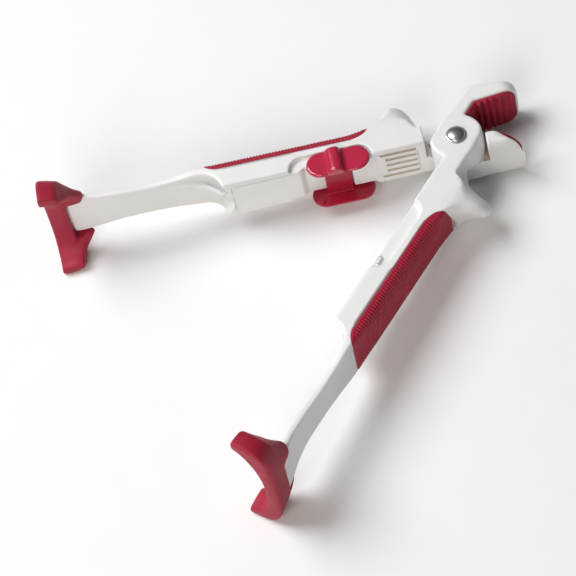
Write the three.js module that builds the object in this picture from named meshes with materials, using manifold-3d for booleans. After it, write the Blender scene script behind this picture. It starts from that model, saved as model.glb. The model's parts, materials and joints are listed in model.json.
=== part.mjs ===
// Sock aid: scissor tongs with a curved spreader on each handle end, bent gripping jaws at the other end,
// a spring that opens the handles and a sliding latch that locks them shut.
// Units are millimetres. Each arm is drawn in its own frame: x runs along the arm towards its jaw,
// y points to the outer side (the side with the grip and the spur), z is the axis of the pivot.
// The second arm is the first one mirrored in y, apart from the lap joint and the jaw.
import * as THREE from 'three';
import { mergeVertices } from 'three/addons/utils/BufferGeometryUtils.js';
import Module from 'manifold-3d';

const wasm = await Module();
wasm.setup();

// Driving dimensions.
const OPEN_ANGLE = THREE.MathUtils.degToRad(49); // between the handles at rest, on the stop
const HALF_WIDTH = 16; // half of a handle's width along the pivot axis
const INNER_EDGE = 0.4; // y of a handle's inner face, so the closed handles stay 0.8 apart
const OUTER_EDGE = 18.2; // y of a handle's outer side under the grip
const NECK_EDGE = 12.9; // y of the neck between the spur and the pivot
const BODY_END = -142.5; // x where the handle body stops and the blade begins
const GAP = 0.3; // clearance between touching pieces

const BOSS_RADIUS = 16.2; // lap disc of each arm round the pivot
const LAP_CLEARANCE = 17.3; // nothing of one arm's own half comes nearer than this to the other's disc
const LAP_GAP = 0.6; // from the middle plane to each lap face
const PIN_RADIUS = 2.9;

const NOSE_ANGLE = THREE.MathUtils.degToRad(42.3); // of the bent jaw's gripping face to its arm

const SPREADER_FREE_X = -251.5; // open edge of the spreader
const SPREADER_ROOT_X = -237; // edge of the spreader next to the blade

const POCKET_RADIUS = 9.2; // latch pocket, a stadium centred on the inner edge
const POCKET_X = [-102, -51];
const POCKET_FLOOR = 13; // z of the pocket floors
const LATCH_RADIUS = 8.8;
const LATCH_X = [-91.5, -52.7];
const LATCH_SCREW = { x: -72, y: 6, radius: 1.3 };
const LATCH_PLATE = [14.9, 17.2]; // how far the underside and the face of a plate stand from the middle
const LATCH_PEG = { x: -86, y: -5.6, radius: 1.3 };
const WEB_X = [-82, -65.5];
const LATCH_TRAVEL = 10;
const CHANNEL_X = [WEB_X[0] - LATCH_TRAVEL - 0.6, WEB_X[1] + 0.6]; // recess for the latch web
const CHANNEL_FLOOR = 2.9;

const COVER_SCREWS = [-38, -126]; // x of the two cover screws
const COVER_SCREW_Y = 6.2;

const BEYOND = 20; // past every outer face, for cuts that go right through

// ---------------------------------------------------------------- solids

function solid(geometry) {
  const bare = geometry.clone();
  for (const name of Object.keys(bare.attributes)) {
    if (name !== 'position') bare.deleteAttribute(name);
  }
  const merged = mergeVertices(bare, 1e-4);
  return new wasm.Manifold(new wasm.Mesh({
    numProp: 3,
    vertProperties: new Float32Array(merged.attributes.position.array),
    triVerts: new Uint32Array(merged.index.array),
  }));
}

function geometryOf(body) {
  const mesh = body.getMesh();
  const geometry = new THREE.BufferGeometry();
  geometry.setAttribute('position', new THREE.BufferAttribute(new Float32Array(mesh.vertProperties), 3));
  geometry.setIndex(new THREE.BufferAttribute(new Uint32Array(mesh.triVerts), 1));
  return geometry;
}

function flippedInY(geometry) {
  const flipped = geometry.clone().applyMatrix4(new THREE.Matrix4().makeScale(1, -1, 1));
  const order = flipped.index.array;
  for (let i = 0; i < order.length; i += 3) {
    [order[i], order[i + 1]] = [order[i + 1], order[i]];
  }
  return flipped;
}

function polygon(points) {
  return new THREE.Shape(points.map(([a, b]) => new THREE.Vector2(a, b)));
}

// A flat outline in x and y, extruded along z.
function slab(shape, zLow, zHigh, curveSegments = 8) {
  const options = { depth: zHigh - zLow, bevelEnabled: false, curveSegments };
  return solid(new THREE.ExtrudeGeometry(shape, options).translate(0, 0, zLow));
}

// A flat outline in x and z, extruded along y; face -1 turns the outline over to the back.
function plan(shape, yLow, yHigh, curveSegments = 8, face = 1) {
  const options = { depth: yHigh - yLow, bevelEnabled: false, curveSegments };
  const block = new THREE.ExtrudeGeometry(shape, options).rotateX(face * Math.PI / 2);
  return solid(block.translate(0, face > 0 ? yHigh : yLow, 0));
}

function box([xLow, xHigh], [yLow, yHigh], [zLow, zHigh]) {
  const block = new THREE.BoxGeometry(xHigh - xLow, yHigh - yLow, zHigh - zLow);
  return solid(block.translate((xLow + xHigh) / 2, (yLow + yHigh) / 2, (zLow + zHigh) / 2));
}

// A round bar along z.
function bar(x, y, radius, zLow, zHigh, segments = 32) {
  const cylinder = new THREE.CylinderGeometry(radius, radius, zHigh - zLow, segments).rotateX(Math.PI / 2);
  return solid(cylinder.translate(x, y, (zLow + zHigh) / 2));
}

// A turned piece standing at x and y: the profile lists radius and height along z.
function turned(profile, segments, x = 0, y = 0) {
  const points = profile.map(([radius, height]) => new THREE.Vector2(radius, height));
  return solid(new THREE.LatheGeometry(points, segments).rotateX(Math.PI / 2).translate(x, y, 0));
}

// Joins rings with equal point counts, each a list of [x, y, z] seen the same way round, and closes the ends.
function loft(rings) {
  const size = rings[0].length;
  const position = rings.flat(2);
  const index = [];
  for (let ring = 0; ring + 1 < rings.length; ring++) {
    for (let i = 0; i < size; i++) {
      const a = ring * size + i;
      const b = ring * size + ((i + 1) % size);
      index.push(a, b, a + size, b, b + size, a + size);
    }
  }
  const flat = rings[0].map(([, y, z]) => new THREE.Vector2(y, z));
  const upright = rings[0].every(([x]) => x === rings[0][0][0]);
  const outline = upright ? flat : rings[0].map(([x, , z]) => new THREE.Vector2(x, z));
  const last = (rings.length - 1) * size;
  for (const [a, b, c] of THREE.ShapeUtils.triangulateShape(outline, [])) {
    index.push(a, c, b, last + a, last + b, last + c);
  }
  const geometry = new THREE.BufferGeometry();
  geometry.setAttribute('position', new THREE.BufferAttribute(new Float32Array(position), 3));
  geometry.setIndex(index);
  const body = solid(geometry);
  return body.volume() > 0 ? body : solid(turnedInsideOut(geometry));
}

function turnedInsideOut(geometry) {
  const order = geometry.index.array;
  for (let i = 0; i < order.length; i += 3) {
    [order[i], order[i + 1]] = [order[i + 1], order[i]];
  }
  return geometry;
}

// A strip along the arm; each station gives x, the inner and outer face and the half width.
function strip(stations) {
  return loft(stations.map(([x, yIn, yOut, w]) => [[x, yIn, -w], [x, yOut, -w], [x, yOut, w], [x, yIn, w]]));
}

function joined(...bodies) {
  return bodies.reduce((whole, body) => whole.add(body));
}

function cut(body, ...tools) {
  return tools.reduce((rest, tool) => rest.subtract(tool), body);
}

// A stadium from xLow to xHigh, centred on the inner edge.
function stadium([xLow, xHigh], radius) {
  const shape = new THREE.Shape();
  shape.absarc(xHigh - radius, 0, radius, -Math.PI / 2, Math.PI / 2, false);
  shape.absarc(xLow + radius, 0, radius, Math.PI / 2, 1.5 * Math.PI, false);
  return shape;
}

// ---------------------------------------------------------------- arm frame

// Handle seen along the pivot axis, from the boss to the root of the blade.
function handleOutline() {
  const shape = new THREE.Shape();
  shape.moveTo(-12, INNER_EDGE);
  shape.lineTo(-12, NECK_EDGE);
  shape.lineTo(-23, NECK_EDGE);
  shape.lineTo(-30, OUTER_EDGE);
  shape.lineTo(-160, OUTER_EDGE);
  shape.lineTo(-160, 12.8);
  shape.bezierCurveTo(-149, 12.5, -145, 8, BODY_END, INNER_EDGE);
  return shape;
}

// The blade is a flat strip that narrows in the middle, flares to the spreader and ends in a thin tongue.
function blade() {
  return strip([
    [-152, 12.8, OUTER_EDGE, 15.9],
    [-160, 12.8, OUTER_EDGE, 15.2],
    [-172, 12.8, 18.0, 13.4],
    [-188, 12.8, 17.8, 12.5],
    [-204, 13.0, 17.6, 12.9],
    [-216, 13.8, 18.0, 13.8],
    [-227, 15.6, 19.6, 15.0],
    [-237.5, 18.0, 21.4, 16.0],
    [-238, 19.4, 21.4, 13.0],
    [-245, 19.9, 21.9, 12.0],
  ]);
}

// Push-off spur: a horn that rises from the outer side and leans from the front to the back.
function spur() {
  const lean = 0.42; // shift towards the jaw for each millimetre towards the back
  const layers = [
    // height y, leading x, trailing x, half width
    [4, -18, -53, 15.9],
    [12, -19.5, -52, 15.9],
    [18.5, -20.5, -46, 14.6],
    [24, -22, -38.5, 12.8],
    [30, -24, -33.6, 10.4],
    [34.5, -25.2, -31.2, 8.6],
    [37, -26.6, -29.8, 7.2],
  ];
  const pointsRound = 20;
  const rounded = (part) => Math.sign(part) * Math.abs(part) ** 0.5; // turns a circle into a soft rectangle
  return loft(layers.map(([y, lead, trail, w]) => {
    const ring = [];
    const middle = (lead + trail) / 2;
    const reach = (lead - trail) / 2;
    const fade = Math.min(1, y / 24);
    for (let i = 0; i < pointsRound; i++) {
      const angle = (i / pointsRound) * 2 * Math.PI;
      const u = rounded(Math.cos(angle));
      const v = rounded(Math.sin(angle));
      ring.push([middle + reach * u - lean * fade * w * v, y, w * v]);
    }
    return ring;
  }));
}

// Half-lap disc of an arm, flat on the side of the jaw's back.
function boss(flatEdge, zLow, zHigh) {
  const disc = bar(0, 0, BOSS_RADIUS, zLow, zHigh, 48);
  return disc.intersect(box([-30, 30], [flatEdge, 30], [-BEYOND, BEYOND]));
}

// Grip outline seen along the pivot axis; margin grows it all round for the seat in the frame.
function gripOutline(margin) {
  const low = 13.6 - margin;
  const left = -152.5 - margin;
  const right = -46.5 + margin;
  const shape = new THREE.Shape();
  shape.moveTo(left, 19 + margin);
  shape.lineTo(left, 18.2);
  shape.quadraticCurveTo(-149, low, -140, low);
  shape.lineTo(-60, low);
  shape.quadraticCurveTo(-51, low, right, 19.4);
  shape.lineTo(right, 20.4 + margin);
  shape.quadraticCurveTo(-88, 22.6 + margin, left, 19 + margin);
  return shape;
}

function gripSeat() {
  const wide = slab(gripOutline(GAP), -BEYOND, BEYOND, 6);
  const core = box([-160, -40], [0, 15.9], [-13.7, 13.7]);
  return wide.subtract(core);
}

// Hollow of the handle, open along the inner edge where the cover closes it.
function trough() {
  return joined(
    box([-138, -24], [0, 13.2], [-10.3, 10.3]),
    box([-138, -24], [0, 2.9], [-12.3, 12.3]),
  );
}

function latchPockets() {
  const pocket = stadium(POCKET_X, POCKET_RADIUS);
  return joined(slab(pocket, POCKET_FLOOR, BEYOND), slab(pocket, -BEYOND, -POCKET_FLOOR));
}

function coverScrewHoles() {
  const holes = COVER_SCREWS.flatMap((x) => [
    bar(x, COVER_SCREW_Y, 2.9, -BEYOND, -13.7, 20),
    bar(x, COVER_SCREW_Y, 1.5, -BEYOND, -9, 16),
  ]);
  return joined(...holes);
}

// Room for the torsion spring's coil and for its two legs, one along each handle.
function springRoom(zLow, zHigh) {
  return joined(
    bar(0, 0, 10.4, zLow, zHigh),
    box([-16.6, 0], [7.2, 9.6], [zLow, zHigh]),
  );
}

// Jaw of the first arm: a straight wedge that reaches under the other arm's nose.
function wedgeJaw() {
  const shape = new THREE.Shape();
  shape.moveTo(8, -11.6);
  shape.lineTo(36.4, -11.6);
  shape.quadraticCurveTo(38.8, -11.6, 38.2, -10.9);
  shape.lineTo(36.6, -10.8);
  shape.lineTo(23.2, -2.4);
  shape.quadraticCurveTo(21.6, -1.5, 16.8, -1.4);
  shape.lineTo(8, -1.4);
  return slab(shape, -HALF_WIDTH, HALF_WIDTH).intersect(jawPlan(39, 0, 0, 0, 7));
}

// Jaw of the second arm: a straight root and a nose bent across the first arm's jaw.
function bentJaw() {
  const shape = new THREE.Shape();
  shape.moveTo(6, -NECK_EDGE);
  shape.lineTo(12, -12.4);
  shape.lineTo(31, -10.9);
  shape.quadraticCurveTo(36.6, -10.4, 40, -5.6);
  shape.lineTo(49.6, 7.4);
  shape.quadraticCurveTo(52.8, 12, 48.6, 15.2);
  shape.lineTo(46.4, 14.2);
  shape.lineTo(27.6, -3.2);
  shape.quadraticCurveTo(26.6, -3.8, 24, -3.6);
  shape.lineTo(8, -3.2);
  return slab(shape, -HALF_WIDTH, HALF_WIDTH).intersect(jawPlan(26.6, 26.6, -2.3, NOSE_ANGLE, 8));
}

// Rounds the two free corners of a jaw, seen square to its gripping face.
function jawPlan(length, x, y, angle, radius) {
  const shape = new THREE.Shape();
  shape.moveTo(-80, -HALF_WIDTH);
  shape.lineTo(length - radius, -HALF_WIDTH);
  shape.absarc(length - radius, -HALF_WIDTH + radius, radius, -Math.PI / 2, 0, false);
  shape.absarc(length - radius, HALF_WIDTH - radius, radius, 0, Math.PI / 2, false);
  shape.lineTo(-80, HALF_WIDTH);
  const options = { depth: 120, bevelEnabled: false, curveSegments: 6 };
  const block = new THREE.ExtrudeGeometry(shape, options).rotateX(Math.PI / 2).translate(0, 60, 0);
  return solid(block.rotateZ(angle).translate(x, y, 0));
}

function sharedFrame() {
  const handle = joined(slab(handleOutline(), -HALF_WIDTH, HALF_WIDTH), blade(), spur());
  return cut(handle, gripSeat(), trough(), latchPockets(), coverScrewHoles());
}

// Room round the pivot for the other arm's lap disc, in front of the middle or behind it.
function lapRoom(face) {
  const [low, high] = face > 0 ? [-LAP_GAP, BEYOND] : [-BEYOND, LAP_GAP];
  return bar(0, 0, LAP_CLEARANCE, low, high, 64);
}

// The first arm carries the latch: a slot for its screw and a recess for its web.
function firstFrame() {
  const { x, y, radius } = LATCH_SCREW;
  const slotEnds = [x - LATCH_TRAVEL - 0.5, x + 0.5];
  const slot = joined(
    box(slotEnds, [y - radius - GAP, y + radius + GAP], [-14, 14]),
    bar(slotEnds[0], y, radius + GAP, -14, 14, 16),
    bar(slotEnds[1], y, radius + GAP, -14, 14, 16),
  );
  const channel = box(CHANNEL_X, [-1, CHANNEL_FLOOR], [-BEYOND, BEYOND]);
  const handle = cut(sharedFrame(), slot, channel, lapRoom(1));
  const jaw = cut(wedgeJaw(), lapRoom(1));
  return cut(
    joined(handle, boss(-11.6, -HALF_WIDTH, -LAP_GAP), jaw),
    bar(0, 0, PIN_RADIUS + GAP, -BEYOND, BEYOND),
    bar(0, 0, 7.6, -BEYOND, -12.6),
    springRoom(-4.8, 0),
  );
}

// The second arm has stops in its pockets that the latch pegs pass behind.
function secondFrame() {
  const handle = cut(sharedFrame(), lapRoom(-1));
  const jaw = cut(bentJaw(), lapRoom(-1));
  const stops = [1, -1].map((face) => {
    const [low, high] = face > 0 ? [POCKET_FLOOR - 1, 14.5] : [-14.5, -POCKET_FLOOR + 1];
    return box([-98.5, -93.5], [1, 3.9], [low, high]);
  });
  return cut(
    joined(handle, boss(-NECK_EDGE, LAP_GAP, HALF_WIDTH), jaw, ...stops),
    bar(0, 0, PIN_RADIUS + GAP, -BEYOND, BEYOND),
    springRoom(0, 4.8),
  );
}

// ---------------------------------------------------------------- arm fittings

// Cover of the hollow handle, with a dip under the latch web and five shallow grooves near the pivot.
function innerCover(withChannel) {
  const ends = [-138 + GAP, -24 - GAP];
  const plate = box(ends, [INNER_EDGE, 2.6], [-12, 12]);
  const bosses = COVER_SCREWS.map((x) => cut(
    box([x - 3.2, x + 3.2], [2, 9.6], [-8.6, -1]),
    bar(x, COVER_SCREW_Y, 1.5, -12, -1.8, 16),
  ));
  const grooves = [];
  for (let i = -2; i <= 2; i++) {
    const reach = 44 - 1.3 * Math.abs(i);
    grooves.push(box([-reach, -26], [0, INNER_EDGE + 0.8], [i * 4.8 - 0.6, i * 4.8 + 0.6]));
  }
  const cover = cut(joined(plate, ...bosses), ...grooves);
  if (!withChannel) return cover;
  const dish = box([CHANNEL_X[0] - 1.6, CHANNEL_X[1] + 1.6], [2, 4.4], [-10, 10]);
  return cut(joined(cover, dish), box(CHANNEL_X, [-1, CHANNEL_FLOOR], [-BEYOND, BEYOND]));
}

// Soft grip: a crowned channel over the outer side that wraps round both edges.
function grip() {
  const side = HALF_WIDTH + 0.4;
  const section = new THREE.Shape();
  section.moveTo(10, -side);
  section.lineTo(17.4, -side);
  section.quadraticCurveTo(19.9, -side, 20.7, -12);
  section.quadraticCurveTo(22.4, 0, 20.7, 12);
  section.quadraticCurveTo(19.9, side, 17.4, side);
  section.lineTo(10, side);
  const options = { depth: 130, bevelEnabled: false, curveSegments: 6 };
  const crown = new THREE.ExtrudeGeometry(section, options);
  // The section's own axes are y and z of the arm, and it is swept along -x.
  crown.applyMatrix4(new THREE.Matrix4().set(0, 0, -1, -35, 1, 0, 0, 0, 0, -1, 0, 0, 0, 0, 0, 1));
  const core = box([-160, -40], [0, 15.9 + GAP], [-13.7 - GAP, 13.7 + GAP]);
  return slab(gripOutline(0), -BEYOND, BEYOND, 6).intersect(solid(crown)).subtract(core);
}

// Closed C section of the spreader at one place along the arm, in y and z.
function spreaderRing(x, halfHeight, depth, innerHeight, innerDepth) {
  const steps = 14;
  const ring = [];
  for (let i = -steps; i <= steps; i++) {
    const t = Math.sin((i / steps) * Math.PI / 2);
    const bulge = (1 - Math.abs(t) ** 4) ** 0.25;
    ring.push([x, INNER_EDGE + (depth - INNER_EDGE) * bulge, halfHeight * t]);
  }
  for (let i = steps; i >= -steps; i--) {
    const t = i / steps;
    const hollow = (1 - t * t) ** 0.85;
    ring.push([x, INNER_EDGE + (innerDepth - INNER_EDGE) * hollow, innerHeight * t]);
  }
  return ring;
}

function spreader() {
  const band = loft([
    spreaderRing(SPREADER_FREE_X, 41, 25, 33, 19.5),
    spreaderRing(SPREADER_ROOT_X, 38.5, 23.4, 31, 17.4),
  ]);
  const lobe = new THREE.Shape();
  lobe.moveTo(-240, 36);
  lobe.lineTo(-237, 36);
  lobe.quadraticCurveTo(-228, 27, -223, 19.5);
  lobe.quadraticCurveTo(-220.5, 14, -225, 11.6);
  lobe.lineTo(-233, 11.6);
  lobe.lineTo(-240, 8);
  // The lobes carry on the taper of the band's outer face.
  const hull = loft([
    spreaderRing(-241, 40, 24.4, 1, 2),
    spreaderRing(-220, 36, 21.2, 1, 2),
  ]);
  const lobes = joined(plan(lobe, 13.2, 22.4), plan(lobe, 13.2, 22.4, 8, -1)).intersect(hull);
  return cut(joined(band, lobes), bladeClearance());
}

// The blade with the clearance all round that its socket in the spreader needs.
function bladeClearance() {
  return strip([
    [-214, 13.4 - GAP, 18.0 + GAP, 13.8 + GAP],
    [-227, 15.6 - GAP, 19.6 + GAP, 15.0 + GAP],
    [-237.8, 18.0 - GAP, 21.4 + GAP, 16.0 + GAP],
    [-238.3, 19.4 - GAP, 21.4 + GAP, 13.0 + GAP],
    [-245.3, 19.9 - GAP, 21.9 + GAP, 12.0 + GAP],
  ]);
}

// Ribbed pad on the straight jaw.
function wedgePad() {
  const points = [[17.8, -1.1], [18.2, 0.2]];
  const ribs = 5;
  const top = [22.6, -0.6]; // the slope runs from here
  const drop = [13.4, -8.9]; // over this much to the tip
  for (let i = 0; i <= ribs * 2; i++) {
    const along = i / (ribs * 2);
    const crest = i % 2 ? 0.5 : 0;
    points.push([top[0] + drop[0] * along, top[1] + drop[1] * along + crest]);
  }
  points.push([37, -10.6], [36.4, -10.3], [23.1, -2.0], [21.4, -1.1]);
  return slab(polygon(points), -14.8, 14.8).intersect(jawPlan(38.4, 0, 0, 0, 7.6));
}

// Ribbed pad on the bent jaw, with bold ribs across the nose.
function bentPad() {
  const points = [[27.8, -2.6], [46.4, 14.6], [47.2, 15.8]];
  const bend = [26.2, -2.0];
  const ribs = 7;
  const pitch = 3.9;
  for (let i = ribs - 1; i >= 0; i--) {
    const height = 1.7 - 0.14 * i; // lower towards the tip
    for (const [along, lift] of [[2.6, 0], [1.9, height], [0.7, height], [0, 0]]) {
      const way = new THREE.Vector2(0.6 + i * pitch + along, lift);
      way.rotateAround(new THREE.Vector2(), NOSE_ANGLE);
      points.push([bend[0] + way.x, bend[1] + way.y]);
    }
  }
  points.push([25, -1.6], [18.2, -1.8], [18.2, -2.9], [24, -3.3], [26.6, -3.4]);
  const inside = jawPlan(26.2, 26.6, -2.3, NOSE_ANGLE, 8.4);
  return slab(polygon(points), -15.4, 15.4).intersect(inside);
}

function coverScrew(x) {
  const profile = [[0, -15.5], [1.2, -15.5], [2.4, -15.3], [2.5, -14], [1.2, -14], [1.2, -2.2], [0, -2.2]];
  return turned(profile, 16, x, COVER_SCREW_Y);
}

// ---------------------------------------------------------------- pivot

// Domed rivet with a closed-over tail in the recess at the back.
function rivet() {
  const dome = [];
  const steps = 6;
  for (let i = 0; i <= steps; i++) {
    const angle = (i / steps) * Math.PI / 2;
    dome.push([6.1 * Math.sin(angle), 16.9 + 2.1 * Math.cos(angle)]);
  }
  return turned([
    ...dome, [6.1, 16.3], [PIN_RADIUS, 16.3], [PIN_RADIUS, -14.4], [4.6, -14.4], [4.2, -15.6], [0, -15.8],
  ].reverse(), 40);
}

function ring(inner, outer, zLow, zHigh, segments) {
  return cut(bar(0, 0, outer, zLow, zHigh, segments), bar(0, 0, inner, zLow - 1, zHigh + 1, segments));
}

// Torsion spring round the pin: a close coil with one straight leg along each handle.
function torsionSpring() {
  const coilRadius = 8.4;
  const turns = 3.5;
  const points = [new THREE.Vector3(-15.6, coilRadius, -3.6), new THREE.Vector3(-8, coilRadius, -3.6)];
  const steps = 42;
  for (let i = 0; i <= steps; i++) {
    const angle = Math.PI / 2 - (i / steps) * turns * 2 * Math.PI;
    const z = -3.6 + 7.2 * (i / steps);
    points.push(new THREE.Vector3(coilRadius * Math.cos(angle), coilRadius * Math.sin(angle), z));
  }
  const path = new THREE.CatmullRomCurve3(points, false, 'centripetal');
  const wire = new THREE.Shape();
  wire.absarc(0, 0, 0.6, 0, 2 * Math.PI, false);
  const options = { steps: 84, extrudePath: path, bevelEnabled: false, curveSegments: 3 };
  return solid(new THREE.ExtrudeGeometry(wire, options));
}

// ---------------------------------------------------------------- latch

// The two faces of the latch: +1 in front, -1 at the back.
function latchLevels(face, inner, outer) {
  return face > 0 ? [inner, outer] : [-outer, -inner];
}

// A plate with a foot that slides on the pocket floor and a peg that locks behind the other arm's stop.
function latchPlate(face) {
  const foot = box([-88, -58], [3.3, 8.2], latchLevels(face, POCKET_FLOOR + GAP, 15.2));
  return joined(
    slab(stadium(LATCH_X, LATCH_RADIUS), ...latchLevels(face, ...LATCH_PLATE), 12),
    foot.intersect(slab(stadium(LATCH_X, LATCH_RADIUS), -BEYOND, BEYOND, 12)),
    bar(LATCH_PEG.x, LATCH_PEG.y, LATCH_PEG.radius, ...latchLevels(face, 13.4, 15.2), 16),
  );
}

// Front plate with the thumb ridge.
function latchFront() {
  const { x, y, radius } = LATCH_SCREW;
  const ridgeSide = new THREE.Shape();
  ridgeSide.moveTo(-78.4, 16.5);
  ridgeSide.lineTo(-77, 19.6);
  ridgeSide.quadraticCurveTo(-73.6, 20.8, -70.2, 19.8);
  ridgeSide.quadraticCurveTo(-69.6, 18.4, -66, 17.2);
  ridgeSide.lineTo(-66, 16.5);
  return cut(
    joined(latchPlate(1), plan(ridgeSide, -8.2, 8.2, 5)),
    bar(x, y, radius + GAP, 10, 15.6, 16),
  );
}

// Back plate with the web that crosses the inner edge and meets the front plate.
function latchBack() {
  const { x, y, radius } = LATCH_SCREW;
  const web = box(WEB_X, [INNER_EDGE + 0.2, CHANNEL_FLOOR - GAP], [-15.2, LATCH_PLATE[0] - GAP]);
  return cut(
    joined(latchPlate(-1), web),
    bar(x, y, radius + GAP, -BEYOND, -10, 16),
    bar(x, y, 2.4, -BEYOND, -15.6, 20),
  );
}

function latchScrew() {
  const { x, y, radius } = LATCH_SCREW;
  return turned([[0, -17], [1.9, -16.9], [2.1, -15.9], [radius, -15.9], [radius, 15.2], [0, 15.2]], 16, x, y);
}

// ---------------------------------------------------------------- assembly

const materials = {
  white: { color: 0xf1f0ee, roughness: 0.35, metalness: 0 },
  red: { color: 0xb32446, roughness: 0.55, metalness: 0 },
  redHard: { color: 0xb02240, roughness: 0.38, metalness: 0 },
  steel: { color: 0xb9bcc0, roughness: 0.2, metalness: 1 },
  nylon: { color: 0xe8e4d8, roughness: 0.5, metalness: 0 },
};

function piece(name, body, finish, mirrored = false) {
  const geometry = geometryOf(body);
  const mesh = new THREE.Mesh(
    mirrored ? flippedInY(geometry) : geometry,
    new THREE.MeshStandardMaterial(materials[finish]),
  );
  mesh.name = name;
  return mesh;
}

function armPieces(prefix, frame, pad, mirrored) {
  const arm = new THREE.Group();
  arm.add(piece(`${prefix}_frame`, frame, 'white', mirrored));
  arm.add(piece(`${prefix}_inner_cover`, innerCover(!mirrored), 'white', mirrored));
  arm.add(piece(`${prefix}_grip`, grip(), 'red', mirrored));
  arm.add(piece(`${prefix}_spreader`, spreader(), 'red', mirrored));
  arm.add(piece(`${prefix}_jaw_pad`, pad, 'red', mirrored));
  arm.add(piece(`${prefix}_cover_screw_front`, coverScrew(COVER_SCREWS[0]), 'steel', mirrored));
  arm.add(piece(`${prefix}_cover_screw_rear`, coverScrew(COVER_SCREWS[1]), 'steel', mirrored));
  return arm;
}

const armA = armPieces('arm_a', firstFrame(), wedgePad(), false);
armA.add(piece('latch_front_plate', latchFront(), 'redHard'));
armA.add(piece('latch_back_plate', latchBack(), 'redHard'));
armA.add(piece('latch_screw', latchScrew(), 'steel'));
armA.add(piece('pivot_rivet', rivet(), 'steel'));
armA.add(piece('rear_washer', ring(PIN_RADIUS + GAP, 7.2, -14.1, -12.9, 32), 'steel'));
armA.add(piece('friction_washer', ring(11.4, 15.6, -0.3, 0.3, 40), 'nylon'));
armA.add(piece('torsion_spring', torsionSpring(), 'steel'));
armA.rotation.z = -OPEN_ANGLE / 2;

const armB = armPieces('arm_b', secondFrame(), bentPad(), true);
armB.rotation.z = OPEN_ANGLE / 2;

// The tool lies on the lower ends of both spreaders and on the tip of the bent jaw, so the pivot leans.
const spreaderFoot = new THREE.Vector2(SPREADER_FREE_X * Math.cos(OPEN_ANGLE / 2), -41);
const jawFoot = new THREE.Vector2(48.5, -HALF_WIDTH);
const lean = Math.atan2(jawFoot.y - spreaderFoot.y, jawFoot.x - spreaderFoot.x);

const tool = new THREE.Group();
tool.add(armA, armB);
tool.rotation.y = lean;

const sockAid = new THREE.Group();
sockAid.add(tool);
sockAid.updateMatrixWorld(true);

// Origin in the middle of the footprint, on the table.
const extent = new THREE.Box3().setFromObject(sockAid, true);
const middle = extent.getCenter(new THREE.Vector3());
tool.position.set(-middle.x, -middle.y, -extent.min.z);

export default sockAid;
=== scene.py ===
import json
import math

import bpy
import numpy as np
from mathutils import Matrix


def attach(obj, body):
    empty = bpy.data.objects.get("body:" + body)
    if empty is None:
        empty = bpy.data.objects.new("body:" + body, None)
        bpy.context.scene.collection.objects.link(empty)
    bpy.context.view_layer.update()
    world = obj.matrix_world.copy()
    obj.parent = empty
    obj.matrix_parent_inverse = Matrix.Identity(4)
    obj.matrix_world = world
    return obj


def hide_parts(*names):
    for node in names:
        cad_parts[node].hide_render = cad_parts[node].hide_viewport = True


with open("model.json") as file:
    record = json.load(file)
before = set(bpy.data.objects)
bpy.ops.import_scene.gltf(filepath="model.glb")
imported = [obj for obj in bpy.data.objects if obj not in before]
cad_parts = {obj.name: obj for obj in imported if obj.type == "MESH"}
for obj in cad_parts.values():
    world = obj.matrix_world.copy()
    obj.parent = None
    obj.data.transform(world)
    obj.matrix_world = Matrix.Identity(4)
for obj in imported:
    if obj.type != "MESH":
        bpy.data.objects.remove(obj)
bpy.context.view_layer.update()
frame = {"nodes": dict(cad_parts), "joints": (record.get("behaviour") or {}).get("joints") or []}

import openvdb
from mathutils import Matrix, Vector

# Sock aid: scissor tongs with a spreader on each handle end. Every shape is drawn in its arm's own frame,
# in millimetres: x runs along the arm towards the jaw, y points to the outer side, z is the pivot axis.
# Each piece is a distance field, negative inside, that is turned into a mesh and then carried to the frame.

# ---------------------------------------------------------------- the arms' places, from the frame's joints

JOINTS = {joint["name"]: joint for joint in frame["joints"]}
HINGE = JOINTS["handle_hinge"]
PIVOT = Vector(HINGE["pos_m"])
ACROSS = -Vector(HINGE["axis"]).normalized()
ALONG_A = -Vector(JOINTS["latch_slide"]["axis"]).normalized()
ALONG_B = Matrix.Rotation(math.radians(HINGE["range_deg"][1]), 3, ACROSS) @ ALONG_A
MM = 0.001

ARM_AXES = {
    "arm_a": np.array([ALONG_A, ACROSS.cross(ALONG_A), ACROSS]),
    "arm_b": np.array([ALONG_B, -ACROSS.cross(ALONG_B), ACROSS]),
}

# ---------------------------------------------------------------- driving dimensions, mm

HALF_WIDTH = 16.0
INNER_EDGE = 0.4
OUTER_EDGE = 18.2
NECK_EDGE = 12.9
FIRST_NECK_EDGE = 11.6
BODY_END = -143.0
BLADE_END = -245.0
BOSS_RADIUS = 16.2
LAP_CLEARANCE = 17.3
LAP_GAP = 0.6
PIN_RADIUS = 2.9
NOSE_ANGLE = math.radians(42.3)
NOSE_START = (26.6, -2.3)
JAW_TIP = 39.8

POCKET_RADIUS = 9.2
POCKET_X = (-102.0, -51.0)
POCKET_FLOOR = 13.0
LATCH_RADIUS = 8.8
LATCH_X = (-91.5, -52.7)
LATCH_SCREW = (-72.0, 6.0)
LATCH_SCREW_BORE = 1.6
PLATE_UNDERSIDE = 14.9
PLATE_FACE = 17.2
SLOT_LENGTH = 10.5
WEB_X = (-82.0, -65.5)
CHANNEL_X = (-92.6, -64.9)
CHANNEL_FLOOR = 2.9
COVER_SCREWS = (-38.0, -126.0)
COVER_SCREW_Y = 6.2
COVER_SCREW_HEAD = 2.9
COVER_SCREW_SHANK = 1.5

SPREADER_FREE_X = -251.5
SPREADER_ROOT_X = -239.4

# ---------------------------------------------------------------- distance fields


def soft_min(a, b, reach):
    """The nearer of two fields, with a fillet of about that reach where they meet."""
    overlap = np.maximum(reach - np.abs(a - b), 0) / reach
    return np.minimum(a, b) - overlap * overlap * reach / 4


def soft_max(a, b, reach):
    return -soft_min(-a, -b, reach)


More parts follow.
